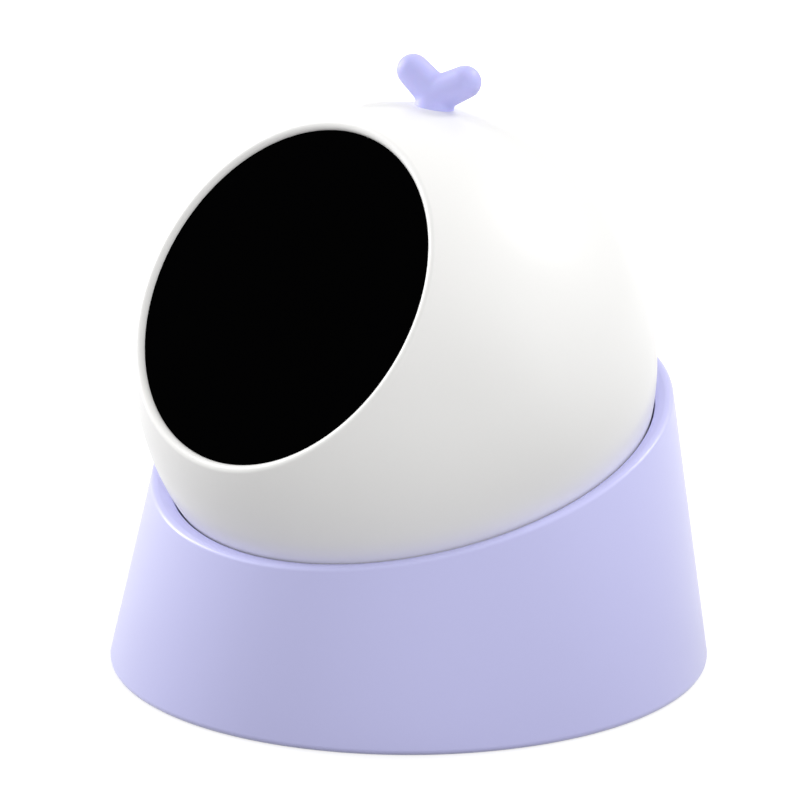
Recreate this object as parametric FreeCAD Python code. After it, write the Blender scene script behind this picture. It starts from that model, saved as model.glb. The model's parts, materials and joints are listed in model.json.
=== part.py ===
import FreeCAD, Part
import math
import os

# Cat laser toy: a ball with a dark window stands in a slanted round base and is aimed by hand.
# Millimetres, +Z up, the window looks to -Y, the origin is the middle of the base's underside.
# Heights of the ball and its cup are measured from the ball's centre along the cup's leaning axis.
# Places in the mechanism are measured from the ball's centre too, with the window straight ahead at -Y.

# Ball and its openings
ball_radius = 35.0
shell_wall = 2.3
ball_centre = (0.0, -2.4, 42.5)
inner_radius = ball_radius - shell_wall
window_elevation = 34.2
window_radius = 23.86
window_front = 23.86
window_thickness = 1.66
window_seat = window_front - window_thickness
window_aperture = 21.6
window_flange_radius = 26.0
window_flange_depth = 1.5
lip_round = 0.8

# Sprout on the crown
sprout_lean = 11.6
sprout_turn = 20.0
sprout_root_height = 1.6
sprout_root_radius = 2.5
sprout_flare_radius = 2.7
sprout_neck_radius = 2.45
sprout_plug_radius = 2.2
leaf_reach = 3.9
leaf_height = 4.15
leaf_join_height = 2.3
leaf_join_radius = 2.25
leaf_radius = 2.2

# Base and its cup
base_radius = 40.1
base_edge = 0.7
rim_radius = 35.64
rim_slant = 14.44
rim_height = -11.38
rim_edge = 0.4
cup_mouth_radius = 34.45
cup_radius = 35.3
mouth_depth = 0.62
hollow_radius = 38.0
hollow_ceiling = ((34.2, 14.0), (30.0, 14.0), (20.0, 6.0), (0.0, 4.4))

# Bottom cover, its screws and feet, and the ballast
cover_radius = 37.9
cover_bottom = 0.6
cover_top = 2.0
foot_radius = 4.0
foot_circle = 31.0
cover_screw_circle = 14.0
cover_screw_radius = 1.2
cover_screw_tip = 6.4
cover_head_radius = 2.4
cover_head_top = 1.3
cover_boss_radius = 3.0
cover_boss_top = 7.0
ballast_outer = 35.4
ballast_inner = 21.0
ballast_top = 5.4

# Seat ring that carries the ball
seat_latitude = 50.0
seat_width = 6.0
seat_thickness = 2.0
seat_clearance = 0.06
seat_side_gap = 0.1

# Seam between the upper and the lower shell, the frame above it and the screws that join them
seam_height = -14.24
frame_radius = 30.4
frame_thickness = 2.0
frame_top = seam_height + frame_thickness
motor_window = (3.0, 17.0, -28.0, -12.0)
frame_screw_circle = 27.6
frame_screw_radius = 1.0
frame_head_radius = 1.9
frame_head_height = 0.9
frame_boss_radius = 2.4
frame_boss_height = 7.0
shell_screw_circle = 17.0
shell_screw_radius = 1.1
shell_head_radius = 2.1
shell_head_low = -28.6
shell_head_high = -27.0
shell_column_radius = 3.0

# Circuit board with the button, the lamp and the charging socket, at the back of the ball
board_distance = 24.4
board_thickness = 1.2
board_face = board_distance + board_thickness
board_half_width = 13.0
board_top = 13.0
switch_half_width = 3.0
switch_depth = 3.5
switch_bore_depth = 2.3
plunger_radius = 1.75
plunger_reach = 4.6
button_height = 7.0
button_radius = 4.5
button_travel = 0.8
button_clearance = 0.08
button_stem_radius = 2.2
button_flange_radius = 5.2
button_flange = (30.4, 31.1)
button_pocket_radius = 5.5
button_pocket_reach = 31.3
dish_radius = 16.0
dish_depth = 0.8
lamp_height = -0.4
lamp_radius = 0.75
lamp_hole_radius = 0.8
socket_height = -5.0
socket_width = 8.94
socket_depth = 3.2
socket_length = 7.35
socket_mouth_width = 8.3
socket_mouth_depth = 2.4
socket_back = 1.0
socket_hole_gap = 0.2

# Battery under the frame
battery_half_width = 11.5
battery_front = -10.0
battery_back = 8.0
battery_height = 7.0
battery_round = 2.0

# Bracket that stands on the frame, with the motor and the pivot of the sideways sweep
pan_axis_y = -8.0
shelf_top = -13.2
shelf_thickness = 2.0
shelf_bottom = shelf_top - shelf_thickness
shelf_left = -13.0
shelf_right = 14.5
shelf_front = -16.0
shelf_back = 1.0
cheek_thickness = 1.5
bracket_reach = 31.0
pin_clearance = 0.05
pivot_radius = 1.25
pivot_head_radius = 2.1
pivot_head_thickness = 0.6
pan_motor_radius = 4.0
pan_motor_length = 9.0
pan_shaft_radius = 0.75
pan_shaft_length = 4.8
pan_shaft_hole = 1.2

# Gear trains of the sweep
pan_module = 0.5
pan_gear_teeth = 30
pan_pinion_teeth = 10
pan_gear_bottom = -12.8
pan_gear_thickness = 2.0
pan_gear_top = pan_gear_bottom + pan_gear_thickness
pinion_bottom = -12.6
pinion_thickness = 1.4
tilt_module = 0.4
tilt_gear_teeth = 26
tilt_pinion_teeth = 10
tilt_gear_side = 10.1
pressure_angle = 20.0
tooth_addendum = 0.9
tooth_dedendum = 1.2
backlash = 0.16

# Yoke, its motor and the laser
yoke_floor = 1.5
yoke_floor_top = pan_gear_top + yoke_floor
arm_inner = 8.0
arm_thickness = 1.5
arm_outer = arm_inner + arm_thickness
arm_depth = 6.0
trunnion_radius = 1.0
trunnion_end = 11.5
tilt_motor_side = 2.6
tilt_shaft_radius = 0.5
tilt_shaft_hole = 0.8
tilt_shaft_start = 5.2
tilt_shaft_end = 11.6
cradle_half_width = 4.0
cradle_half_depth = 3.0
cradle_half_height = 3.4
barrel_radius = 2.5
barrel_front = 7.0
barrel_back = 5.0
lens_radius = 1.7
lens_recess = 0.6
lens_seat = 2.0

# Longer than any piece reaches from its own middle, for cuts that run right through, and a cut's overrun
far = 40.0
over = 1.0


def vec(x, y, z):
    return FreeCAD.Vector(x, y, z)


def placed(shape, tilt):
    """Move a shape made about the ball's centre into the part's frame, turned about X by tilt degrees."""
    turned = shape.copy()
    turned.rotate(vec(0, 0, 0), vec(1, 0, 0), tilt)
    turned.translate(vec(*ball_centre))
    return turned


def in_head(shape):
    return placed(shape, -window_elevation)


def in_cup(shape):
    return placed(shape, rim_slant)


def box(x0, x1, y0, y1, z0, z1):
    return Part.makeBox(x1 - x0, y1 - y0, z1 - z0, vec(x0, y0, z0))


def rod(radius, z0, z1, x=0.0, y=0.0):
    return Part.makeCylinder(radius, z1 - z0, vec(x, y, z0), vec(0, 0, 1))


def rod_y(radius, y0, y1, z=0.0):
    return Part.makeCylinder(radius, y1 - y0, vec(0, y0, z), vec(0, 1, 0))


def rod_x(radius, x0, x1, z=0.0):
    return Part.makeCylinder(radius, x1 - x0, vec(x0, pan_axis_y, z), vec(1, 0, 0))


def turned_profile(points):
    """Revolve an outline of (radius, height) points about Z."""
    corners = [vec(r, 0, z) for r, z in points]
    outline = Part.makePolygon(corners + [corners[0]])
    return Part.Face(outline).revolve(vec(0, 0, 0), vec(0, 0, 1), 360)


def on_sphere(radius, latitude):
    angle = math.radians(latitude)
    return (radius * math.cos(angle), radius * math.sin(angle))


def around(count, radius, start=90.0):
    """Places of repeated features on a circle."""
    steps = [math.radians(start + 360.0 * i / count) for i in range(count)]
    return [(radius * math.cos(a), radius * math.sin(a)) for a in steps]


# Outer form of the base: straight walls from a level circle up to the slanted rim, with both edges eased
def base_outside():
    def level_ring(radius, height):
        return Part.Wire(Part.makeCircle(radius, vec(0, 0, height)))

    def slanted_ring(radius, height):
        return in_cup(Part.Wire(Part.makeCircle(radius, vec(0, 0, height))))

    rings = [level_ring(base_radius - base_edge, 0), level_ring(base_radius, base_edge),
             slanted_ring(rim_radius, rim_height - rim_edge), slanted_ring(rim_radius - rim_edge, rim_height)]
    return Part.makeLoft(rings, True, True)


def seat_point(along, outward):
    """Point beside the line where the ball rests, along the sphere and away from it."""
    slope = math.radians(seat_latitude)
    contact = on_sphere(ball_radius, -seat_latitude)
    r = contact[0] + along * math.sin(slope) + outward * math.cos(slope)
    z = contact[1] + along * math.cos(slope) - outward * math.sin(slope)
    return (r, z)


# Well that the ball stands in, with the pocket of the seat ring
def cup_well():
    half = seat_width / 2 + seat_side_gap
    floor = seat_thickness + 2 * seat_clearance
    wall = cup_radius - ball_radius
    throat_height = rim_height - mouth_depth
    throat_radius = math.sqrt(cup_radius ** 2 - throat_height ** 2)
    profile = [(0, 0), (cup_mouth_radius, 0), (cup_mouth_radius, rim_height), (throat_radius, throat_height)]
    profile += [on_sphere(cup_radius, latitude) for latitude in (-27, -35)]
    profile += [seat_point(half, wall), seat_point(half, floor), seat_point(-half, floor), seat_point(-half, wall)]
    profile += [on_sphere(cup_radius, latitude) for latitude in (-64, -73, -82)] + [(0, -cup_radius)]
    return in_cup(turned_profile(profile))


def base_shell():
    opening = [(0, -over), (hollow_radius, -over), (hollow_radius, cover_top)]
    shell = base_outside().cut(turned_profile(opening + list(hollow_ceiling)))
    for x, y in around(3, cover_screw_circle):
        shell = shell.fuse(rod(cover_boss_radius, cover_top, cover_boss_top, x, y))
    shell = shell.cut(cup_well())
    for x, y in around(3, cover_screw_circle):
        shell = shell.cut(rod(cover_screw_radius, cover_top - over, cover_screw_tip, x, y))
    return shell


def bottom_cover():
    plate = rod(cover_radius, cover_bottom, cover_top)
    for x, y in around(3, cover_screw_circle):
        plate = plate.cut(rod(cover_screw_radius, 0, cover_top + over, x, y))
        plate = plate.cut(rod(cover_head_radius, 0, cover_head_top, x, y))
    return plate


def cover_screws():
    screws = []
    for x, y in around(3, cover_screw_circle):
        head = rod(cover_head_radius, cover_bottom + 0.1, cover_head_top, x, y)
        screws.append(head.fuse(rod(cover_screw_radius, cover_head_top - 0.3, cover_screw_tip, x, y)))
    return Part.makeCompound(screws)


def ballast_ring():
    return rod(ballast_outer, cover_top, ballast_top).cut(rod(ballast_inner, 0, ballast_top + over))


def rubber_feet():
    return Part.makeCompound([rod(foot_radius, 0, cover_bottom, x, y) for x, y in around(4, foot_circle, 45)])


def seat_ring():
    half = seat_width / 2
    inner = seat_clearance
    outer = seat_clearance + seat_thickness
    corners = [seat_point(-half, inner), seat_point(half, inner), seat_point(half, outer), seat_point(-half, outer)]
    return in_cup(turned_profile(corners))


def ball_slice(low, high, cavity):
    """Part of the ball between two heights, hollowed by a cavity of a few straight tapers."""
    ball = Part.makeSphere(ball_radius).common(box(-far, far, -far, far, low, high))
    return ball.cut(turned_profile(cavity))


def lip_waste():
    """What the rounding between the window's recess and the sphere takes away, about the window's axis."""
    centre_radius = window_radius + lip_round
    reach = ball_radius - lip_round
    centre_depth = math.sqrt(reach ** 2 - centre_radius ** 2)
    outward = (centre_radius / reach, centre_depth / reach)
    side = (outward[0] - 1, outward[1])
    length = math.hypot(side[0], side[1])

    def on_arc(direction):
        return vec(centre_radius + lip_round * direction[0], -centre_depth - lip_round * direction[1], 0)

    inner = on_arc((-1, 0))
    crest = on_arc((side[0] / length, side[1] / length))
    outer = on_arc(outward)
    clear = vec(far * outward[0], -far * outward[1], 0)
    above = vec(inner.x - over, clear.y, 0)
    below = vec(inner.x - over, inner.y, 0)
    edges = [Part.Arc(inner, crest, outer).toShape(), Part.makeLine(outer, clear), Part.makeLine(clear, above),
             Part.makeLine(above, below), Part.makeLine(below, inner)]
    return Part.Face(Part.Wire(edges)).revolve(vec(0, 0, 0), vec(0, 1, 0), 360)


def socket_slot(width, depth, y0, y1):
    """Rounded slot along Y at the charging socket's place."""
    end_radius = depth / 2
    reach = width / 2 - end_radius
    slot = box(-reach, reach, y0, y1, socket_height - end_radius, socket_height + end_radius)
    for x in (-reach, reach):
        end = rod_y(end_radius, y0, y1, socket_height)
        end.translate(vec(x, 0, 0))
        slot = slot.fuse(end)
    return slot.removeSplitter()


def upper_shell():
    seam_radius = math.sqrt(inner_radius ** 2 - seam_height ** 2)
    roof = [on_sphere(inner_radius, latitude) for latitude in (0, 25, 50, 74)]
    entry = [(0, seam_height - over), (seam_radius, seam_height - over), (seam_radius, seam_height)]
    shell = ball_slice(seam_height, far, entry + roof + [(0, roof[-1][1])])
    shell = shell.cut(rod(frame_radius, seam_height - over, frame_top))
    for x, y in around(3, frame_screw_circle, 30):
        shell = shell.fuse(rod(frame_boss_radius, frame_top, frame_top + frame_boss_height, x, y))
    for x, y in around(3, frame_screw_circle, 30):
        shell = shell.cut(rod(frame_screw_radius, frame_top - over, frame_top + 5.0, x, y))
    back_holes = [rod_y(button_radius + button_clearance, board_distance, far, button_height),
                  rod_y(button_pocket_radius, board_distance, button_pocket_reach, button_height),
                  rod_y(lamp_hole_radius, board_distance, far, lamp_height),
                  socket_slot(socket_width + 2 * socket_hole_gap, socket_depth + 2 * socket_hole_gap,
                              board_distance, far)]
    for hole in back_holes:
        shell = shell.cut(hole)
    shell = in_cup(shell)
    flange = rod_y(window_flange_radius, -window_seat - over, -window_seat + window_flange_depth)
    shell = shell.fuse(in_head(flange))
    window_recess = rod_y(window_radius, -far, -window_seat)
    light_path = rod_y(window_aperture, -far, -window_seat + window_flange_depth + over)
    for waste in (window_recess, light_path, lip_waste()):
        shell = shell.cut(in_head(waste))
    return shell.cut(placed(rod(sprout_plug_radius, inner_radius - over, far), -sprout_lean))


def lower_shell():
    seam_radius = math.sqrt(inner_radius ** 2 - seam_height ** 2)
    bowl = [on_sphere(inner_radius, latitude) for latitude in (-74, -54, -38)]
    mouth = [(seam_radius, seam_height + over), (0, seam_height + over)]
    shell = ball_slice(-far, seam_height, [(0, bowl[0][1])] + bowl + mouth)
    inside = Part.makeSphere(ball_radius - over)
    for x, y in around(3, shell_screw_circle, 90):
        column = rod(shell_column_radius, -far, seam_height, x, y)
        shell = shell.fuse(column.common(inside))
    for x, y in around(3, shell_screw_circle, 90):
        shell = shell.cut(rod(shell_screw_radius, -far, seam_height + over, x, y))
        shell = shell.cut(rod(shell_head_radius + 0.1, -far, shell_head_high, x, y))
    return in_cup(shell)


def shell_screws():
    screws = []
    for x, y in around(3, shell_screw_circle, 90):
        head = rod(shell_head_radius, shell_head_low, shell_head_high, x, y)
        screws.append(head.fuse(rod(shell_screw_radius, shell_head_low + 0.6, frame_top, x, y)))
    return in_cup(Part.makeCompound(screws))


def inner_frame():
    plate = rod(frame_radius, seam_height, frame_top)
    plate = plate.cut(box(*motor_window, seam_height - over, frame_top + over))
    for x, y in around(3, frame_screw_circle, 30):
        plate = plate.cut(rod(frame_screw_radius, seam_height - over, frame_top + over, x, y))
        plate = plate.cut(rod(frame_head_radius, seam_height - over, seam_height + frame_head_height + 0.1, x, y))
    for x, y in around(3, shell_screw_circle, 90):
        plate = plate.cut(rod(shell_screw_radius, seam_height - over, frame_top + over, x, y))
    return in_cup(plate)


def frame_screws():
    screws = []
    for x, y in around(3, frame_screw_circle, 30):
        head = rod(frame_head_radius, seam_height + 0.1, seam_height + frame_head_height + 0.1, x, y)
        screws.append(head.fuse(rod(frame_screw_radius, seam_height + 0.5, frame_top + 4.5, x, y)))
    return in_cup(Part.makeCompound(screws))


def window_panel():
    return in_head(rod_y(window_radius, -window_front, -window_seat))


# Two rounded leaves on a short thick stalk, plugged into the top of the ball
def sprout():
    root = vec(0, 0, ball_radius + sprout_root_height)
    foot = vec(0, 0, ball_radius - 0.6)
    plant = Part.makeCone(sprout_flare_radius, sprout_neck_radius, root.z - foot.z, foot, vec(0, 0, 1))
    plant = plant.fuse(Part.makeSphere(sprout_root_radius, root))
    plant = plant.fuse(Part.makeSphere(leaf_join_radius, vec(0, 0, ball_radius + leaf_join_height)))
    across = leaf_reach * math.cos(math.radians(sprout_turn))
    along = leaf_reach * math.sin(math.radians(sprout_turn))
    for side in (-1, 1):
        tip = vec(side * across, side * along, ball_radius + leaf_height)
        way = tip - root
        plant = plant.fuse(Part.makeCone(sprout_root_radius, leaf_radius, way.Length, root, way))
        plant = plant.fuse(Part.makeSphere(leaf_radius, tip))
    plant = plant.cut(Part.makeSphere(ball_radius))
    plug = rod(sprout_plug_radius, inner_radius + 0.1, ball_radius + over)
    return placed(plant.fuse(plug), -sprout_lean)


def circuit_board():
    return in_cup(box(-board_half_width, board_half_width, board_distance, board_face, frame_top, board_top))


def battery():
    pack = box(-battery_half_width, battery_half_width, battery_front, battery_back,
               seam_height - battery_height, seam_height)
    long_edges = [edge for edge in pack.Edges if abs(edge.Length - 2 * battery_half_width) < 0.01]
    return in_cup(pack.makeFillet(battery_round, long_edges))


def tact_switch():
    body = box(-switch_half_width, switch_half_width, board_face, board_face + switch_depth,
               button_height - switch_half_width, button_height + switch_half_width)
    bore_floor = board_face + switch_depth - switch_bore_depth
    bore = rod_y(plunger_radius + pin_clearance, bore_floor, board_face + switch_depth + over, button_height)
    return in_cup(body.cut(bore))


def switch_plunger():
    bore_floor = board_face + switch_depth - switch_bore_depth
    stem_end = bore_floor + button_travel + 0.1
    return in_cup(rod_y(plunger_radius, stem_end, board_face + plunger_reach, button_height))


def mode_button():
    stem = rod_y(button_stem_radius, board_face + plunger_reach, ball_radius - 3.0, button_height)
    flange = rod_y(button_flange_radius, *button_flange, button_height)
    cap = rod_y(button_radius, button_flange[1] - 0.1, far, button_height)
    cap = cap.common(Part.makeSphere(ball_radius))
    dish = Part.makeSphere(dish_radius, vec(0, ball_radius - dish_depth + dish_radius, button_height))
    return in_cup(stem.fuse(flange).fuse(cap.cut(dish)))


def charging_socket():
    front = board_face + socket_length
    body = socket_slot(socket_width, socket_depth, board_face, front)
    mouth = socket_slot(socket_mouth_width, socket_mouth_depth, board_face + socket_back, front + over)
    return in_cup(body.cut(mouth))


def status_lamp():
    light_pipe = rod_y(lamp_radius, board_face, far, lamp_height)
    return in_cup(light_pipe.common(Part.makeSphere(ball_radius)))


def pinion_place():
    distance = pan_module * (pan_gear_teeth + pan_pinion_teeth) / 2
    return (distance, pan_axis_y)


# Bracket that stands on the frame and carries the sweep mechanism
def laser_bracket():
    stand = box(shelf_left, shelf_right, shelf_front, shelf_back, shelf_bottom, shelf_top)
    left_cheek = box(shelf_left, shelf_left + cheek_thickness, shelf_front, shelf_back, -far, shelf_bottom + 0.5)
    right_side = shelf_right - 0.3
    right_cheek = box(right_side, right_side + cheek_thickness, shelf_front, shelf_back, -far, shelf_top)
    stand = stand.fuse(left_cheek).fuse(right_cheek)
    stand = stand.cut(rod(pan_shaft_hole, shelf_bottom - over, shelf_top + over, *pinion_place()))
    stand = stand.cut(rod(pivot_radius, shelf_bottom - over, shelf_top + over, 0, pan_axis_y))
    above_frame = placed(box(-far, far, -far, far, frame_top, far), rim_slant)
    return in_head(stand.common(Part.makeSphere(bracket_reach))).common(above_frame)


def pan_motor():
    can = rod(pan_motor_radius, shelf_bottom - pan_motor_length, shelf_bottom, *pinion_place())
    bore = rod(pan_shaft_radius + pin_clearance, shelf_bottom - 5.0, shelf_bottom + over, *pinion_place())
    return in_head(can.cut(bore))


def pan_shaft():
    pinion_top = pinion_bottom + pinion_thickness
    return in_head(rod(pan_shaft_radius, shelf_bottom - pan_shaft_length, pinion_top, *pinion_place()))


def gear_outline(teeth, module, height):
    """Spur gear with involute flanks, thinned by the backlash, from z = 0 up, a tooth on +X."""
    pitch = module * teeth / 2
    base = pitch * math.cos(math.radians(pressure_angle))
    tip = pitch + tooth_addendum * module
    root = pitch - tooth_dedendum * module
    half_tooth = math.pi / (2 * teeth) - backlash / (2 * pitch)

    def involute_angle(radius):
        pressure = math.acos(min(1.0, base / radius))
        return math.tan(pressure) - pressure

    start = max(base, root)
    flank = [start, (start + tip) / 2, tip]
    spread = [half_tooth + involute_angle(pitch) - involute_angle(r) for r in flank]

    def point(radius, angle):
        return vec(radius * math.cos(angle), radius * math.sin(angle), 0)

    edges = []
    for i in range(teeth):
        middle = 2 * math.pi * i / teeth
        after = 2 * math.pi * (i + 1) / teeth
        rise = [point(r, middle - a) for r, a in zip(flank, spread)]
        fall = [point(r, middle + a) for r, a in zip(flank, spread)]
        foot_in = point(root, middle - spread[0])
        foot_out = point(root, middle + spread[0])
        next_foot = point(root, after - spread[0])
        edges.append(Part.makeLine(foot_in, rise[0]))
        edges.append(Part.Arc(rise[0], rise[1], rise[2]).toShape())
        edges.append(Part.makeLine(rise[2], fall[2]))
        edges.append(Part.Arc(fall[2], fall[1], fall[0]).toShape())
        edges.append(Part.makeLine(fall[0], foot_out))
        edges.append(Part.makeLine(foot_out, next_foot))
    return Part.Face(Part.Wire(edges)).extrude(vec(0, 0, height))


def pan_pinion():
    x, y = pinion_place()
    gear = gear_outline(pan_pinion_teeth, pan_module, pinion_thickness)
    gear.rotate(vec(0, 0, 0), vec(0, 0, 1), 180.0 / pan_pinion_teeth)
    gear = gear.cut(rod(pan_shaft_radius, -over, pinion_thickness + over))
    gear.translate(vec(x, y, pinion_bottom))
    return in_head(gear)


def pan_gear():
    gear = gear_outline(pan_gear_teeth, pan_module, pan_gear_thickness)
    gear = gear.cut(rod(pivot_radius + pin_clearance, -over, pan_gear_thickness + over))
    gear.translate(vec(0, pan_axis_y, pan_gear_bottom))
    return in_head(gear)


def pivot_pin():
    head_low = yoke_floor_top + 0.1
    head_high = head_low + pivot_head_thickness
    pin = rod(pivot_radius, shelf_bottom, head_high, 0, pan_axis_y)
    return in_head(pin.fuse(rod(pivot_head_radius, head_low, head_high, 0, pan_axis_y)))


def tilt_pinion_height():
    return -tilt_module * (tilt_gear_teeth + tilt_pinion_teeth) / 2


def yoke():
    front = pan_axis_y - arm_depth / 2
    back = pan_axis_y + arm_depth / 2
    body = box(-arm_outer, arm_outer, front, back, pan_gear_top, yoke_floor_top)
    for x in (-arm_outer, arm_inner):
        arm = box(x, x + arm_thickness, front, back, pan_gear_top, 0)
        body = body.fuse(arm).fuse(rod_x(arm_depth / 2, x, x + arm_thickness))
    body = body.cut(rod_x(trunnion_radius + pin_clearance, -arm_outer - over, arm_outer + over))
    body = body.cut(rod_x(tilt_shaft_hole, arm_inner - over, arm_outer + over, tilt_pinion_height()))
    body = body.cut(rod(pivot_radius + pin_clearance, pan_gear_top - over, yoke_floor_top + over, 0, pan_axis_y))
    return in_head(body.removeSplitter())


def tilt_motor():
    height = tilt_pinion_height()
    can = rod_x(height - yoke_floor_top, tilt_motor_side, arm_inner, height)
    bore = rod_x(tilt_shaft_radius + pin_clearance, tilt_shaft_start - 0.2, arm_inner + over, height)
    return in_head(can.cut(bore))


def tilt_shaft():
    return in_head(rod_x(tilt_shaft_radius, tilt_shaft_start, tilt_shaft_end, tilt_pinion_height()))


def side_gear(teeth, height, bore, turn):
    """Gear on a cross axis beside the yoke's right arm."""
    gear = gear_outline(teeth, tilt_module, pinion_thickness)
    gear.rotate(vec(0, 0, 0), vec(0, 0, 1), turn)
    gear = gear.cut(rod(bore, -over, pinion_thickness + over))
    gear.rotate(vec(0, 0, 0), vec(0, 1, 0), 90)
    gear.translate(vec(tilt_gear_side, pan_axis_y, height))
    return in_head(gear)


def tilt_pinion():
    half_tooth_turn = 180.0 / tilt_pinion_teeth
    return side_gear(tilt_pinion_teeth, tilt_pinion_height(), tilt_shaft_radius, 180.0 + half_tooth_turn)


def tilt_gear():
    return side_gear(tilt_gear_teeth, 0, trunnion_radius, 0)


def laser_cradle():
    block = box(-cradle_half_width, cradle_half_width, pan_axis_y - cradle_half_depth,
                pan_axis_y + cradle_half_depth, -cradle_half_height, cradle_half_height)
    body = block.fuse(rod_x(trunnion_radius, -arm_outer, trunnion_end))
    return in_head(body.cut(rod_y(barrel_radius, pan_axis_y - barrel_front, pan_axis_y + barrel_back)))


def laser_barrel():
    front = pan_axis_y - barrel_front
    barrel = rod_y(barrel_radius, front, pan_axis_y + barrel_back)
    return in_head(barrel.cut(rod_y(lens_radius, front - over, front + lens_seat)))


def laser_lens():
    front = pan_axis_y - barrel_front
    return in_head(rod_y(lens_radius, front + lens_recess, front + lens_seat))


pieces = (
    base_shell, bottom_cover, cover_screws, ballast_ring, rubber_feet, seat_ring,
    upper_shell, lower_shell, shell_screws, inner_frame, frame_screws, window_panel, sprout,
    circuit_board, battery, tact_switch, switch_plunger, mode_button, charging_socket, status_lamp,
    laser_bracket, pan_motor, pan_shaft, pan_pinion, pan_gear, pivot_pin, yoke,
    tilt_motor, tilt_shaft, tilt_pinion, tilt_gear, laser_cradle, laser_barrel, laser_lens,
)

os.makedirs("parts", exist_ok=True)
for piece in pieces:
    shape = piece()
    shape.exportStep("parts/" + piece.__name__ + ".step")
    print(piece.__name__, len(shape.Solids), shape.isValid(), round(shape.Volume, 1))
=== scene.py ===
import bpy
import json
import math
from mathutils import Euler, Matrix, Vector


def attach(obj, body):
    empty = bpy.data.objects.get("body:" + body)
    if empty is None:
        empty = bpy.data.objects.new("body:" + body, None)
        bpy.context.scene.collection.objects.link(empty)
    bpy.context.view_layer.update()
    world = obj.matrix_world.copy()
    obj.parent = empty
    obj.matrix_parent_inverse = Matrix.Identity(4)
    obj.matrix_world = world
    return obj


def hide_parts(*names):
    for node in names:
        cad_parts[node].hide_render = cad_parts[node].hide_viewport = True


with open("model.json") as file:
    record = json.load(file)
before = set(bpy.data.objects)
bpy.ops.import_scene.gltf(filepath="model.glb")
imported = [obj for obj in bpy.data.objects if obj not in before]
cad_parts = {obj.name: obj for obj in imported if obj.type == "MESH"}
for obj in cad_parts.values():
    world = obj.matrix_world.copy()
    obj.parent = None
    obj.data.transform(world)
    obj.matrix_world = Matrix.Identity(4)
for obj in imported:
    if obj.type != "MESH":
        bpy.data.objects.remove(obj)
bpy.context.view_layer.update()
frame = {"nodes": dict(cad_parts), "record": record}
mm = 0.001  # the shop drawings are in millimetres, the scene in metres

# Places shared by several pieces, in metres
shape = {
    "ballCentre": Vector((0, -2.4, 42.5)) * mm,
    "ballRadius": 35.0 * mm,
    "windowTilt": math.radians(-34.2),  # turns a piece that looks along -Y up to the window's own angle
    "cupTilt": math.radians(14.44),  # turns a level piece to the slant of the base's rim
    "sproutTilt": math.radians(-11.6),
    "seamDrop": 14.24 * mm,
}

# How closely a cut is made and its new edge is found again, in metres
fit = {"cut": 1e-7, "pick": 1e-6, "merge": 0.002 * mm}


def placedPoint(tilt, x, y, z):
    # from a frame that is tilted about the ball's centre to the scene
    return shape["ballCentre"] + Euler((tilt, 0, 0)).to_matrix() @ Vector((x, y, z))


def cupPoint(x, y, z):
    return placedPoint(shape["cupTilt"], x, y, z)


# Small helpers for work in edit mode

def clearSelection():
    if bpy.context.object and bpy.context.object.mode != "OBJECT":
        bpy.ops.object.mode_set(mode="OBJECT")
    bpy.ops.object.select_all(action="DESELECT")


def makeActive(piece):
    clearSelection()
    piece.select_set(True)
    bpy.context.view_layer.objects.active = piece


def newest(name):
    piece = bpy.context.object
    piece.name = name
    piece.data.name = name
    return piece


def editMode(piece):
    makeActive(piece)
    bpy.ops.object.mode_set(mode="EDIT")
    bpy.ops.mesh.select_mode(type="VERT")


def objectMode():
    bpy.ops.object.mode_set(mode="OBJECT")


def pick(piece, test):
    # selects the vertices whose place passes the test, and leaves edit mode on
    bpy.ops.mesh.select_mode(type="VERT")
    bpy.ops.mesh.select_all(action="DESELECT")
    objectMode()
    for vertex in piece.data.vertices:
        vertex.select = bool(test(vertex.co))
    bpy.ops.object.mode_set(mode="EDIT")


def applyPlace(piece):
    makeActive(piece)
    bpy.ops.object.transform_apply(location=True, rotation=True, scale=True)


def applyAll(piece):
    makeActive(piece)
    for modifier in list(piece.modifiers):
        bpy.ops.object.modifier_apply(modifier=modifier.name)


def joinAll(pieces, name):
    clearSelection()
    for piece in pieces:
        piece.select_set(True)
    bpy.context.view_layer.objects.active = pieces[0]
    bpy.ops.object.join()
    return newest(name)


def bridgeRings(rings, name):
    # joins circles of equal count into one skin, one pair of neighbours after the other
    count = len(rings[0].data.vertices)
    skin = joinAll(rings, name)
    editMode(skin)
    for index in range(len(rings) - 1):
        first = index * count
        bpy.ops.mesh.select_all(action="DESELECT")
        objectMode()
        second, last = first + count, first + 2 * count
        for vertex in skin.data.vertices:
            vertex.select = first <= vertex.index < last
        for edge in skin.data.edges:
            a, b = edge.vertices
            inPair = first <= min(a, b) and max(a, b) < last
            edge.select = inPair and (a < second) == (b < second)
        bpy.ops.object.mode_set(mode="EDIT")
        bpy.ops.mesh.select_mode(type="EDGE")
        bpy.ops.mesh.bridge_edge_loops()
    bpy.ops.mesh.select_mode(type="VERT")
    objectMode()
    return skin


def ring(radius, centre, tilt, count):
    clearSelection()
    bpy.ops.mesh.primitive_circle_add(vertices=count, radius=radius, location=centre, rotation=(tilt, 0, 0))
    circle = bpy.context.object
    applyPlace(circle)
    return circle


def outwardNormals(piece, merge=fit["merge"]):
    editMode(piece)
    bpy.ops.mesh.select_all(action="SELECT")
    bpy.ops.mesh.remove_doubles(threshold=merge)
    bpy.ops.mesh.normals_make_consistent(inside=False)
    objectMode()


def smoothBy(piece, degrees):
    makeActive(piece)
    bpy.ops.object.shade_smooth_by_angle(angle=math.radians(degrees))


def dressed(piece, material):
    piece.data.materials.clear()
    piece.data.materials.append(material)


# Shader node groups

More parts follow.
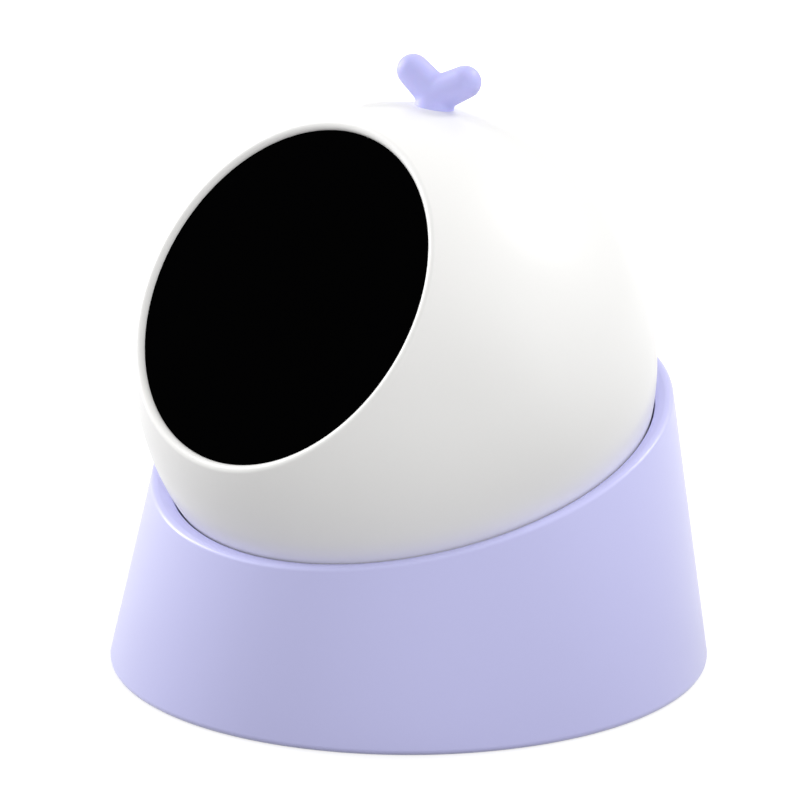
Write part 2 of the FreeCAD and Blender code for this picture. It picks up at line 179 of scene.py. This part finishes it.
def newGroup(name, inputs, outputs):
    group = bpy.data.node_groups.new(name, "ShaderNodeTree")
    for label, kind, value in inputs:
        socket = group.interface.new_socket(name=label, in_out="INPUT", socket_type=kind)
        socket.default_value = value
    for label, kind in outputs:
        group.interface.new_socket(name=label, in_out="OUTPUT", socket_type=kind)
    start = group.nodes.new("NodeGroupInput")
    end = group.nodes.new("NodeGroupOutput")
    return group, start, end


def mathNode(nodes, links, operation, *values):
    # a Math node whose inputs are sockets or plain numbers
    node = nodes.new("ShaderNodeMath")
    node.operation = operation
    for index, value in enumerate(values):
        if isinstance(value, bpy.types.NodeSocket):
            links.new(value, node.inputs[index])
        else:
            node.inputs[index].default_value = value
    return node.outputs[0]


def moldedColourGroup():
    # a slow drift of tone over a moulded surface, with fine pigment specks
    group, start, end = newGroup("moldedColour", [
        ("Colour", "NodeSocketColor", (0.8, 0.8, 0.8, 1)),
        ("Drift", "NodeSocketFloat", 0.02),
        ("Patch Scale", "NodeSocketFloat", 40.0),
        ("Speck Scale", "NodeSocketFloat", 2600.0)],
        [("Colour", "NodeSocketColor")])
    nodes, links = group.nodes, group.links
    place = nodes.new("ShaderNodeTexCoord")
    patch = nodes.new("ShaderNodeTexNoise")
    speck = nodes.new("ShaderNodeTexNoise")
    patch.inputs["Detail"].default_value = 2
    speck.inputs["Detail"].default_value = 1
    links.new(place.outputs["Object"], patch.inputs["Vector"])
    links.new(place.outputs["Object"], speck.inputs["Vector"])
    links.new(start.outputs["Patch Scale"], patch.inputs["Scale"])
    links.new(start.outputs["Speck Scale"], speck.inputs["Scale"])
    both = mathNode(nodes, links, "ADD", patch.outputs["Fac"], speck.outputs["Fac"])
    centred = mathNode(nodes, links, "SUBTRACT", both, 1.0)
    amount = mathNode(nodes, links, "MULTIPLY_ADD", centred, start.outputs["Drift"], 1.0)
    tint = nodes.new("ShaderNodeVectorMath")
    tint.operation = "SCALE"
    links.new(start.outputs["Colour"], tint.inputs[0])
    links.new(amount, tint.inputs["Scale"])
    links.new(tint.outputs[0], end.inputs["Colour"])
    return group


def fineTextureGroup():
    # the spark-eroded texture of a mould, as a mask for roughness and a height for bump
    group, start, end = newGroup("fineTexture", [
        ("Scale", "NodeSocketFloat", 3000.0),
        ("Roughness", "NodeSocketFloat", 0.35),
        ("Spread", "NodeSocketFloat", 0.06)],
        [("Roughness", "NodeSocketFloat"), ("Height", "NodeSocketFloat")])
    nodes, links = group.nodes, group.links
    place = nodes.new("ShaderNodeTexCoord")
    grain = nodes.new("ShaderNodeTexNoise")
    broad = nodes.new("ShaderNodeTexNoise")
    grain.inputs["Detail"].default_value = 3
    broad.inputs["Scale"].default_value = 60
    links.new(place.outputs["Object"], grain.inputs["Vector"])
    links.new(place.outputs["Object"], broad.inputs["Vector"])
    links.new(start.outputs["Scale"], grain.inputs["Scale"])
    centred = mathNode(nodes, links, "SUBTRACT", broad.outputs["Fac"], 0.5)
    rough = mathNode(nodes, links, "MULTIPLY_ADD", centred, start.outputs["Spread"], start.outputs["Roughness"])
    links.new(rough, end.inputs["Roughness"])
    links.new(grain.outputs["Fac"], end.inputs["Height"])
    return group


def edgeRubGroup():
    # lighter tone where a corner is rubbed, found from the surface's pointiness
    group, start, end = newGroup("edgeRub", [
        ("Colour", "NodeSocketColor", (0.8, 0.8, 0.8, 1)),
        ("Rubbed", "NodeSocketColor", (0.9, 0.9, 0.9, 1)),
        ("Amount", "NodeSocketFloat", 0.2)],
        [("Colour", "NodeSocketColor")])
    nodes, links = group.nodes, group.links
    surface = nodes.new("ShaderNodeNewGeometry")
    spread = nodes.new("ShaderNodeMapRange")
    spread.inputs["From Min"].default_value = 0.5
    spread.inputs["From Max"].default_value = 0.62
    links.new(surface.outputs["Pointiness"], spread.inputs["Value"])
    weight = mathNode(nodes, links, "MULTIPLY", spread.outputs["Result"], start.outputs["Amount"])
    blend = nodes.new("ShaderNodeMix")
    blend.data_type = "RGBA"
    links.new(weight, blend.inputs["Factor"])
    links.new(start.outputs["Colour"], blend.inputs[6])  # sockets 6 and 7 are the two colours
    links.new(start.outputs["Rubbed"], blend.inputs[7])
    links.new(blend.outputs[2], end.inputs["Colour"])  # output 2 is the blended colour
    return group


moldedColour = moldedColourGroup()
fineTexture = fineTextureGroup()
edgeRub = edgeRubGroup()


def placeGroup(material, group, values):
    node = material.node_tree.nodes.new("ShaderNodeGroup")
    node.node_tree = group
    for label, value in values.items():
        node.inputs[label].default_value = value
    return node


def moldedMaterial(look):
    material = bpy.data.materials.new(look["name"])
    material.use_nodes = True
    links = material.node_tree.links
    shader = material.node_tree.nodes["Principled BSDF"]
    tone = placeGroup(material, moldedColour, {
        "Colour": (*look["colour"], 1), "Drift": look["drift"], "Patch Scale": look["patchScale"]})
    rub = placeGroup(material, edgeRub, {"Rubbed": (*look["rubbed"], 1), "Amount": look["rub"]})
    texture = placeGroup(material, fineTexture, {
        "Scale": look["grainScale"], "Roughness": look["roughness"], "Spread": look["spread"]})
    bump = material.node_tree.nodes.new("ShaderNodeBump")
    bump.inputs["Strength"].default_value = look["bump"]
    bump.inputs["Distance"].default_value = look["bumpDepth"]
    links.new(tone.outputs["Colour"], rub.inputs["Colour"])
    links.new(rub.outputs["Colour"], shader.inputs["Base Color"])
    links.new(texture.outputs["Roughness"], shader.inputs["Roughness"])
    links.new(texture.outputs["Height"], bump.inputs["Height"])
    links.new(bump.outputs["Normal"], shader.inputs["Normal"])
    for label in plainSockets:
        shader.inputs[label].default_value = look[plainSockets[label]]
    return material


# Values that are the same all over a surface, by the shader's own socket
plainSockets = {
    "Metallic": "metallic", "Specular IOR Level": "specular", "IOR": "ior", "Coat Weight": "coat",
    "Coat Roughness": "coatRoughness", "Subsurface Weight": "subsurface", "Subsurface Scale": "subsurfaceScale",
}


def moldedLook(name, colour, rubbed, **more):
    look = {
        "name": name, "colour": colour, "rubbed": rubbed,
        "drift": 0.015, "patchScale": 35.0, "rub": 0.15,
        "grainScale": 2800.0, "roughness": 0.38, "spread": 0.05, "bump": 0.06, "bumpDepth": 0.02 * mm,
        "metallic": 0.0, "specular": 0.5, "ior": 1.46, "coat": 0.0, "coatRoughness": 0.1,
        "subsurface": 0.0, "subsurfaceScale": 1.5 * mm,
    }
    look.update(more)
    return look


looks = {
    "ball_white": moldedLook("whiteShell", (0.90, 0.895, 0.885), (0.95, 0.95, 0.95), roughness=0.36, rub=0.0,
                             coat=0.15),
    "window_black": moldedLook("darkWindow", (0.0008, 0.0008, 0.0009), (0.002, 0.002, 0.002), roughness=0.5,
                               specular=0.0, drift=0.3, bump=0.0),
    "base_lavender": moldedLook("lavenderShell", (0.60, 0.60, 0.95), (0.72, 0.72, 0.97), roughness=0.33, coat=0.1),
    "sprout_lavender": moldedLook("lavenderSprout", (0.53, 0.53, 0.95), (0.60, 0.60, 0.95), roughness=0.45,
                                  subsurface=0.1),
    "seat_silicone": moldedLook("seatSilicone", (0.50, 0.50, 0.60), (0.60, 0.60, 0.70), roughness=0.6),
    "rubber_grey": moldedLook("footRubber", (0.10, 0.10, 0.11), (0.20, 0.20, 0.21), roughness=0.75, bump=0.2),
    "frame_plastic": moldedLook("framePlastic", (0.03, 0.03, 0.033), (0.10, 0.10, 0.11), roughness=0.5),
    "gear_plastic": moldedLook("gearPlastic", (0.80, 0.78, 0.72), (0.90, 0.88, 0.84), roughness=0.4),
    "screw_steel": moldedLook("screwSteel", (0.55, 0.55, 0.57), (0.80, 0.80, 0.82), roughness=0.3, metallic=1.0),
    "ballast_steel": moldedLook("ballastSteel", (0.40, 0.40, 0.42), (0.60, 0.60, 0.62), roughness=0.45, metallic=1.0),
    "board_green": moldedLook("boardLacquer", (0.015, 0.12, 0.05), (0.05, 0.20, 0.10), roughness=0.3, coat=0.4),
    "battery_wrap": moldedLook("batteryWrap", (0.30, 0.34, 0.40), (0.50, 0.54, 0.60), roughness=0.35),
    "brass": moldedLook("turnedBrass", (0.72, 0.50, 0.20), (0.90, 0.75, 0.45), roughness=0.28, metallic=1.0),
    "lens_glass": moldedLook("lensRed", (0.35, 0.02, 0.02), (0.6, 0.1, 0.1), roughness=0.08, coat=1.0),
    "lamp_clear": moldedLook("lampDiffuser", (0.80, 0.82, 0.86), (0.90, 0.90, 0.92), roughness=0.25),
}
materials = {slot: moldedMaterial(look) for slot, look in looks.items()}

for part in frame["record"]["subparts"]:
    node = frame["nodes"][part["node"]]
    for slot in node.material_slots:
        slot.material = materials[part["material_slot"]]
print("materials are on the CAD parts")


# Ball: the white upper shell, open at the window and cut off at the seam

ballShell = {
    "segments": 192,
    "rings": 128,
    "innerRadius": 32.8 * mm,
    "windowRadius": 23.9 * mm,
    "lipRound": 0.8 * mm,
    "lipSteps": 14,
    "recessDepth": 1.6 * mm,
    "rimMerge": 0.012 * mm,  # joins the recess to the inner skin
    "buttonHole": 4.58 * mm,
    "buttonRise": 7.0 * mm,
    "lampHole": 0.8 * mm,
    "lampRise": -0.4 * mm,
    "slotWidth": 9.34 * mm,
    "slotDepth": 3.6 * mm,
    "slotRise": -5.0 * mm,
    "toolReach": 33.0 * mm, "toolLength": 12.0 * mm, "toolSides": 64,
    "skinSlack": 0.004 * mm,  # vertices this near to the sphere take its normals
    "smoothAngle": 40,
}


def cutSphere(radius, height, values, name):
    # a sphere with its cap above the height cut away, left in edit mode
    clearSelection()
    bpy.ops.mesh.primitive_uv_sphere_add(segments=values["segments"], ring_count=values["rings"], radius=radius)
    sphere = newest(name)
    editMode(sphere)
    bpy.ops.mesh.select_all(action="SELECT")
    bpy.ops.mesh.bisect(plane_co=(0, 0, height), plane_no=(0, 0, 1), clear_outer=True, threshold=fit["cut"])
    return sphere


def raiseRing(rise):
    bpy.ops.mesh.extrude_edges_move(TRANSFORM_OT_translate={"value": (0, 0, rise)})


def widenRing(factor, height):
    bpy.ops.transform.resize(value=(factor, factor, 1), center_override=(0, 0, height))


def closeSeam(ball):
    # cuts both skins off at the seam and joins the two open edges
    editMode(ball)
    bpy.ops.mesh.select_all(action="SELECT")
    seam = cupPoint(0, 0, -shape["seamDrop"])
    up = cupPoint(0, 0, 1) - shape["ballCentre"]
    bpy.ops.mesh.bisect(plane_co=seam, plane_no=up, clear_inner=True, threshold=fit["cut"])
    pick(ball, lambda place: abs((place - seam).dot(up.normalized())) < fit["pick"])
    bpy.ops.mesh.select_mode(type="EDGE")
    bpy.ops.mesh.bridge_edge_loops()
    bpy.ops.mesh.select_all(action="SELECT")
    bpy.ops.mesh.normals_make_consistent(inside=False)
    objectMode()


def makeBallShell(values):
    radius, lip = shape["ballRadius"], values["lipRound"]
    middle = values["windowRadius"] + lip
    depth = math.sqrt((radius - lip) ** 2 - middle ** 2)
    outward = Vector((middle, depth)).normalized()
    openAt = outward.y * radius
    ball = cutSphere(radius, openAt, values, "ballShell")
    pick(ball, lambda place: abs(place.z - openAt) < fit["pick"])
    startAngle = math.atan2(outward.y, outward.x)
    reach, height = outward.x * radius, openAt
    for step in range(1, values["lipSteps"] + 1):
        angle = startAngle + (math.pi - startAngle) * step / values["lipSteps"]
        newReach = middle + lip * math.cos(angle)
        newHeight = depth + lip * math.sin(angle)
        raiseRing(newHeight - height)
        widenRing(newReach / reach, newHeight)
        reach, height = newReach, newHeight
    raiseRing(-values["recessDepth"])
    floorHeight = height - values["recessDepth"]
    insideReach = math.sqrt(values["innerRadius"] ** 2 - floorHeight ** 2)
    bpy.ops.mesh.extrude_edges_move()
    widenRing(insideReach / reach, floorHeight)
    objectMode()
    inside = cutSphere(values["innerRadius"], floorHeight, values, "ballInside")
    objectMode()
    ball = joinAll([ball, inside], "ballShell")
    outwardNormals(ball, values["rimMerge"])
    ball.rotation_euler = Euler((math.radians(90) + shape["windowTilt"], 0, 0))
    ball.location = shape["ballCentre"]
    applyPlace(ball)
    closeSeam(ball)
    return ball


def cutter(radius, rise, values, name):
    clearSelection()
    bpy.ops.mesh.primitive_cylinder_add(vertices=values["toolSides"], radius=radius, depth=values["toolLength"],
                                        location=cupPoint(0, values["toolReach"], rise),
                                        rotation=(shape["cupTilt"] + math.radians(90), 0, 0))
    return newest(name)


def makeSlotTool(values):
    # a round tool whose two halves are drawn apart to the slot's width
    tool = cutter(values["slotDepth"] / 2, values["slotRise"], values, "slotTool")
    applyPlace(tool)
    editMode(tool)
    for side in (-1, 1):
        pick(tool, lambda place: place.x * side > 1e-5)
        bpy.ops.transform.translate(value=(side * (values["slotWidth"] - values["slotDepth"]) / 2, 0, 0))
    objectMode()
    return tool


def makeHoles(ball, values):
    # cuts the button, lamp and inlet openings, then takes clean normals from a plain sphere
    clearSelection()
    bpy.ops.mesh.primitive_uv_sphere_add(segments=values["segments"], ring_count=values["rings"],
                                         radius=shape["ballRadius"], location=shape["ballCentre"])
    source = newest("plainSphere")
    applyPlace(source)
    bpy.ops.object.shade_smooth()
    tools = [cutter(values["buttonHole"], values["buttonRise"], values, "buttonTool"),
             cutter(values["lampHole"], values["lampRise"], values, "lampTool"),
             makeSlotTool(values)]
    for tool in tools:
        cut = ball.modifiers.new("cut", "BOOLEAN")
        cut.object = tool
        cut.operation = "DIFFERENCE"
        cut.solver = "EXACT"
    applyAll(ball)
    smoothBy(ball, values["smoothAngle"])
    onSkin = [vertex.index for vertex in ball.data.vertices
              if abs((vertex.co - shape["ballCentre"]).length - shape["ballRadius"]) < values["skinSlack"]]
    ball.vertex_groups.new(name="skin").add(onSkin, 1.0, "REPLACE")
    borrow = ball.modifiers.new("cleanNormals", "DATA_TRANSFER")
    borrow.object = source
    borrow.use_loop_data = True
    borrow.data_types_loops = {"CUSTOM_NORMAL"}
    borrow.loop_mapping = "POLYINTERP_NEAREST"
    borrow.vertex_group = "skin"
    applyAll(ball)
    for extra in tools + [source]:
        bpy.data.objects.remove(extra, do_unlink=True)


ball = makeBallShell(ballShell)
makeHoles(ball, ballShell)
dressed(ball, materials["ball_white"])
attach(ball, "ball")
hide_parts("upper_shell")
print("ball shell done")


# Window: a dark disc with an eased edge, set in the ball's recess

windowPanel = {
    "radius": 23.88 * mm,
    "front": 23.86 * mm,
    "thickness": 1.6 * mm,
    "edge": 0.06 * mm, "edgeSteps": 3,
    "faceInset": 2.0 * mm,
    "sides": 160,
    "smoothAngle": 30,
}


def makeWindow(values):
    halfThickness = values["thickness"] / 2
    clearSelection()
    bpy.ops.mesh.primitive_cylinder_add(vertices=values["sides"], radius=values["radius"],
                                        depth=values["thickness"])
    panel = newest("windowPanel")
    editMode(panel)
    pick(panel, lambda place: place.z > 0)
    bpy.ops.mesh.bevel(offset=values["edge"], segments=values["edgeSteps"], affect="EDGES")
    pick(panel, lambda place: abs(place.z - halfThickness) < fit["cut"])
    bpy.ops.mesh.inset(thickness=values["faceInset"])
    objectMode()
    panel.rotation_euler = Euler((math.radians(90) + shape["windowTilt"], 0, 0))
    panel.location = placedPoint(shape["windowTilt"], 0, -values["front"] + halfThickness, 0)
    applyPlace(panel)
    smoothBy(panel, values["smoothAngle"])
    return panel


window = makeWindow(windowPanel)
dressed(window, materials["window_black"])
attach(window, "ball")
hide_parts("window_panel")
print("window done")


# Sprout: two puffy leaves grown together over a short stalk

sproutLeaf = {
    "rootRise": 1.6 * mm, "rootRadius": 2.5 * mm,
    "leafReach": 3.9 * mm, "leafRise": 4.15 * mm, "leafRadius": 2.25 * mm,
    "joinRise": 2.3 * mm, "joinRadius": 2.3 * mm,
    "turn": math.radians(20.0),
    "neckRadius": 2.5 * mm, "flareRadius": 2.75 * mm, "stalkSink": 0.8 * mm,
    "segments": 48, "rings": 24, "coneSides": 64,
    "voxel": 0.16 * mm,
    "smoothing": 26, "smoothFactor": 0.5,
}


def leafBall(radius, place, values):
    clearSelection()
    bpy.ops.mesh.primitive_uv_sphere_add(segments=values["segments"], ring_count=values["rings"], radius=radius,
                                         location=place)
    return bpy.context.object


def leafStem(lowRadius, highRadius, length, middle, turn, values):
    clearSelection()
    bpy.ops.mesh.primitive_cone_add(vertices=values["coneSides"], radius1=lowRadius, radius2=highRadius,
                                    depth=length, location=middle, rotation=turn)
    return bpy.context.object


def makeSprout(values):
    radius, sink = shape["ballRadius"], values["stalkSink"]
    rootRadius, rootRise = values["rootRadius"], values["rootRise"]
    root = Vector((0, 0, radius + rootRise))
    parts = [leafBall(rootRadius, root, values),
             leafStem(values["flareRadius"], values["neckRadius"], rootRise + sink,
                      (0, 0, radius + rootRise / 2 - sink / 2), (0, 0, 0), values),
             leafBall(values["joinRadius"], (0, 0, radius + values["joinRise"]), values)]
    for side in (-1, 1):
        tip = Vector((side * values["leafReach"] * math.cos(values["turn"]),
                      side * values["leafReach"] * math.sin(values["turn"]), radius + values["leafRise"]))
        way = tip - root
        parts.append(leafBall(values["leafRadius"], tip, values))
        parts.append(leafStem(rootRadius, values["leafRadius"], way.length, (root + tip) / 2,
                              way.to_track_quat("Z", "Y").to_euler(), values))
    plant = joinAll(parts, "sproutLeaves")
    applyPlace(plant)
    remesh = plant.modifiers.new("oneSkin", "REMESH")
    remesh.mode = "VOXEL"
    remesh.voxel_size = values["voxel"]
    ease = plant.modifiers.new("ease", "SMOOTH")
    ease.factor = values["smoothFactor"]
    ease.iterations = values["smoothing"]
    applyAll(plant)
    bpy.ops.object.shade_smooth()
    plant.rotation_euler = Euler((shape["sproutTilt"], 0, 0))
    plant.location = shape["ballCentre"]
    applyPlace(plant)
    return plant


sprout = makeSprout(sproutLeaf)
dressed(sprout, materials["sprout_lavender"])
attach(sprout, "ball")
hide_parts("sprout")
print("sprout done")


# Base: one moulded skin from the foot edge over the slanted rim and down into the cup

baseSkin = {
    "count": 192,
    "footRadius": 40.1 * mm, "footRound": 1.0 * mm,
    "rimRadius": 35.64 * mm, "rimDrop": 11.38 * mm, "rimRound": 0.55 * mm,
    "mouthRadius": 34.45 * mm, "mouthRound": 0.2 * mm, "mouthDepth": 0.62 * mm,
    "mouthEdge": 0.06 * mm,
    "cupRadius": 35.22 * mm, "cupLatitudes": (21.5, 24, 28, 33, 39, 46, 54, 63, 72, 81, 88),
    "coverRadius": 38.0 * mm, "coverRise": 2.0 * mm, "coverInset": 8.0 * mm, "coverEdge": 0.15 * mm,
    "roundAngles": (0, 22, 45, 67, 90),
    "smoothAngle": 28,
}


def makeBase(values):
    count = values["count"]
    rings = []

    def level(radius, height):
        rings.append(ring(radius, (0, 0, height), 0, count))

    def slanted(radius, drop):
        rings.append(ring(radius, cupPoint(0, 0, -drop), shape["cupTilt"], count))

    cover, edge = values["coverRadius"], values["coverEdge"]
    level(cover - values["coverInset"], values["coverRise"])
    level(cover, values["coverRise"])
    level(cover, edge)
    level(cover + edge, 0)
    foot, easing = values["footRadius"], values["footRound"]
    for angle in reversed(values["roundAngles"]):
        turn = math.radians(-angle)
        level(foot - easing + easing * math.cos(turn), easing + easing * math.sin(turn))
    rim, drop, easing = values["rimRadius"], values["rimDrop"], values["rimRound"]
    for angle in values["roundAngles"]:
        turn = math.radians(angle)
        slanted(rim - easing + easing * math.cos(turn), drop + easing - easing * math.sin(turn))
    mouth, cup = values["mouthRadius"], values["cupRadius"]
    throat = drop + values["mouthDepth"]
    slanted(mouth + values["mouthRound"], drop)
    slanted(mouth, drop + values["mouthEdge"])
    slanted(math.sqrt(cup ** 2 - throat ** 2), throat)
    for latitude in values["cupLatitudes"]:
        turn = math.radians(latitude)
        slanted(cup * math.cos(turn), cup * math.sin(turn))
    base = bridgeRings(rings, "baseShell")
    outwardNormals(base)
    smoothBy(base, values["smoothAngle"])
    return base


base = makeBase(baseSkin)
dressed(base, materials["base_lavender"])
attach(base, "base")
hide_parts("base_shell")
print("base done")


# Stage, lamps and camera

studio = {
    "aim": Vector((1.15, -2.64, 37.5)) * mm,
    "azimuth": 47.5, "elevation": 18.1, "distance": 2.455,
    "lens": 826.3, "sensor": 36, "nearClip": 0.05, "farClip": 20,
    "worldColour": (1.0, 1.0, 0.99), "worldStrength": 0.60,
    "floorSize": 6.0, "floorDrop": 0.02 * mm,
    "floorColour": (0.34, 0.34, 0.345), "floorDrift": 0.01, "floorPatches": 3.0, "floorSpecks": 900.0,
    "floorRoughness": 0.9,
    "nearReach": 0.05, "farReach": 0.20,  # between these the floor's lift grows from nearLift to white
    "nearLift": 0.74,
    "lampDistance": 0.9,
}

# Lamps: azimuth and elevation in degrees as seen from the aim, size in metres, power in watts
studioLamps = {
    "keyLamp": {"azimuth": 163.5, "elevation": 40.5, "size": (0.25, 0.25), "power": 2.8, "glossy": True},
    "leftStrip": {"azimuth": -72.5, "elevation": 20, "size": (0.3, 0.7), "power": 5.8, "glossy": True},
    "rightStrip": {"azimuth": 118, "elevation": 12, "size": (0.3, 0.7), "power": 1.1, "glossy": False},
    "frontFill": {"azimuth": 52, "elevation": 32, "size": (0.5, 0.5), "power": 2.15, "glossy": False},
}


def directionFrom(values):
    azimuth, elevation = math.radians(values["azimuth"]), math.radians(values["elevation"])
    return Vector((math.sin(azimuth) * math.cos(elevation), -math.cos(azimuth) * math.cos(elevation),
                   math.sin(elevation)))


def whiteView(nodes, links):
    # 1 where the camera, a reflection or clear material looks, else 0
    path = nodes.new("ShaderNodeLightPath")
    mask = path.outputs["Is Camera Ray"]
    for kind in ("Is Glossy Ray", "Is Transmission Ray"):
        mask = mathNode(nodes, links, "MAXIMUM", mask, path.outputs[kind])
    return mask


def floorMaterial(values):
    # pale paper that is lifted to white where it is seen, so that only the contact shadow stays
    material = bpy.data.materials.new("studioPaper")
    material.use_nodes = True
    nodes, links = material.node_tree.nodes, material.node_tree.links
    shader = nodes["Principled BSDF"]
    shader.inputs["Roughness"].default_value = values["floorRoughness"]
    shader.inputs["Specular IOR Level"].default_value = 0.0
    paper = placeGroup(material, moldedColour, {
        "Colour": (*values["floorColour"], 1), "Drift": values["floorDrift"],
        "Patch Scale": values["floorPatches"], "Speck Scale": values["floorSpecks"]})
    links.new(paper.outputs["Colour"], shader.inputs["Base Color"])
    place = nodes.new("ShaderNodeTexCoord")
    reach = nodes.new("ShaderNodeVectorMath")
    reach.operation = "LENGTH"
    links.new(place.outputs["Object"], reach.inputs[0])
    lift = nodes.new("ShaderNodeMapRange")
    lift.inputs["From Min"].default_value = values["nearReach"]
    lift.inputs["From Max"].default_value = values["farReach"]
    lift.inputs["To Min"].default_value = values["nearLift"]
    lift.inputs["To Max"].default_value = 1.0
    links.new(reach.outputs["Value"], lift.inputs["Value"])
    seen = mathNode(nodes, links, "MULTIPLY", lift.outputs["Result"], whiteView(nodes, links))
    glow = nodes.new("ShaderNodeEmission")
    links.new(seen, glow.inputs["Strength"])
    both = nodes.new("ShaderNodeAddShader")
    links.new(shader.outputs["BSDF"], both.inputs[0])
    links.new(glow.outputs["Emission"], both.inputs[1])
    links.new(both.outputs["Shader"], nodes["Material Output"].inputs["Surface"])
    return material


def makeStage(values):
    clearSelection()
    bpy.ops.mesh.primitive_plane_add(size=values["floorSize"], location=(0, 0, -values["floorDrop"]))
    floor = newest("studioFloor")
    dressed(floor, floorMaterial(values))


def softLamp(name, values):
    data = bpy.data.lights.new(name, "AREA")
    data.shape = "RECTANGLE"
    data.size, data.size_y = values["size"]
    data.energy = values["power"]
    lamp = bpy.data.objects.new(name, data)
    bpy.context.collection.objects.link(lamp)
    way = directionFrom(values)
    lamp.location = studio["aim"] + way * studio["lampDistance"]
    lamp.rotation_euler = way.to_track_quat("Z", "Y").to_euler()
    lamp.visible_glossy = values["glossy"]


def makeWorld(values):
    world = bpy.data.worlds.new("studioWorld")
    bpy.context.scene.world = world
    world.use_nodes = True
    nodes, links = world.node_tree.nodes, world.node_tree.links
    ambient = nodes["Background"]
    ambient.inputs["Color"].default_value = (*values["worldColour"], 1)
    ambient.inputs["Strength"].default_value = values["worldStrength"]
    backdrop = nodes.new("ShaderNodeBackground")
    backdrop.inputs["Color"].default_value = (1, 1, 1, 1)
    mix = nodes.new("ShaderNodeMixShader")
    links.new(whiteView(nodes, links), mix.inputs["Fac"])
    links.new(ambient.outputs["Background"], mix.inputs[1])
    links.new(backdrop.outputs["Background"], mix.inputs[2])
    links.new(mix.outputs["Shader"], nodes["World Output"].inputs["Surface"])


def makeCamera(values):
    data = bpy.data.cameras.new("photoCamera")
    camera = bpy.data.objects.new("photoCamera", data)
    bpy.context.collection.objects.link(camera)
    way = directionFrom(values)
    camera.location = values["aim"] + way * values["distance"]
    camera.rotation_euler = way.to_track_quat("Z", "Y").to_euler()
    data.lens = values["lens"]
    data.sensor_width = values["sensor"]
    data.clip_start = values["nearClip"]
    data.clip_end = values["farClip"]
    bpy.context.scene.camera = camera


makeStage(studio)
makeWorld(studio)
for lampName, lampValues in studioLamps.items():
    softLamp(lampName, lampValues)
makeCamera(studio)
bpy.context.scene.view_settings.view_transform = "Standard"
print("studio done")
